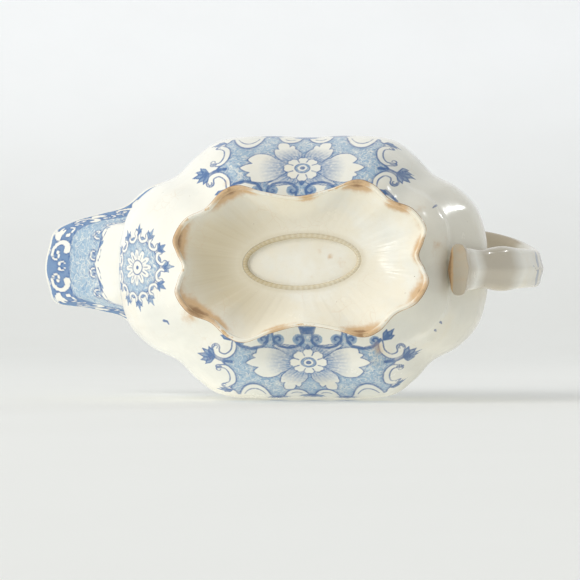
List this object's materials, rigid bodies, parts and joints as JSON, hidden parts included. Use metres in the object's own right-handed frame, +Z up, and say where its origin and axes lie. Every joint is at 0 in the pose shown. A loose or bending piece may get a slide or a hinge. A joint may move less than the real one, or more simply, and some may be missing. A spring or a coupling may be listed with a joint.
{
  "type": "cream jug",
  "caption": "Lobed earthenware cream jug on a hollow scalloped foot, with a long pouring lip and a strap handle.",
  "frame": {"origin": "on the surface that the jug stands on, under the middle of its bounding box", "axes": "+X towards the pouring lip, -X towards the handle, +Y to the left seen from behind the handle, +Z up"},
  "size_m": [0.1634, 0.0796, 0.1088],
  "materials": {
    "glazed_body": "glossy aged cream glaze over a blue transfer print",
    "stained_base": "glossy cream glaze, stained brown at the worn rim",
    "glazed_handle": "glossy aged cream glaze with a few blue touches"
  },
  "bodies": {
    "root": {"body_left": "glazed_body", "body_right": "glazed_body", "base_plate": "stained_base", "foot": "stained_base", "handle": "glazed_handle"}
  },
  "joints": []
}
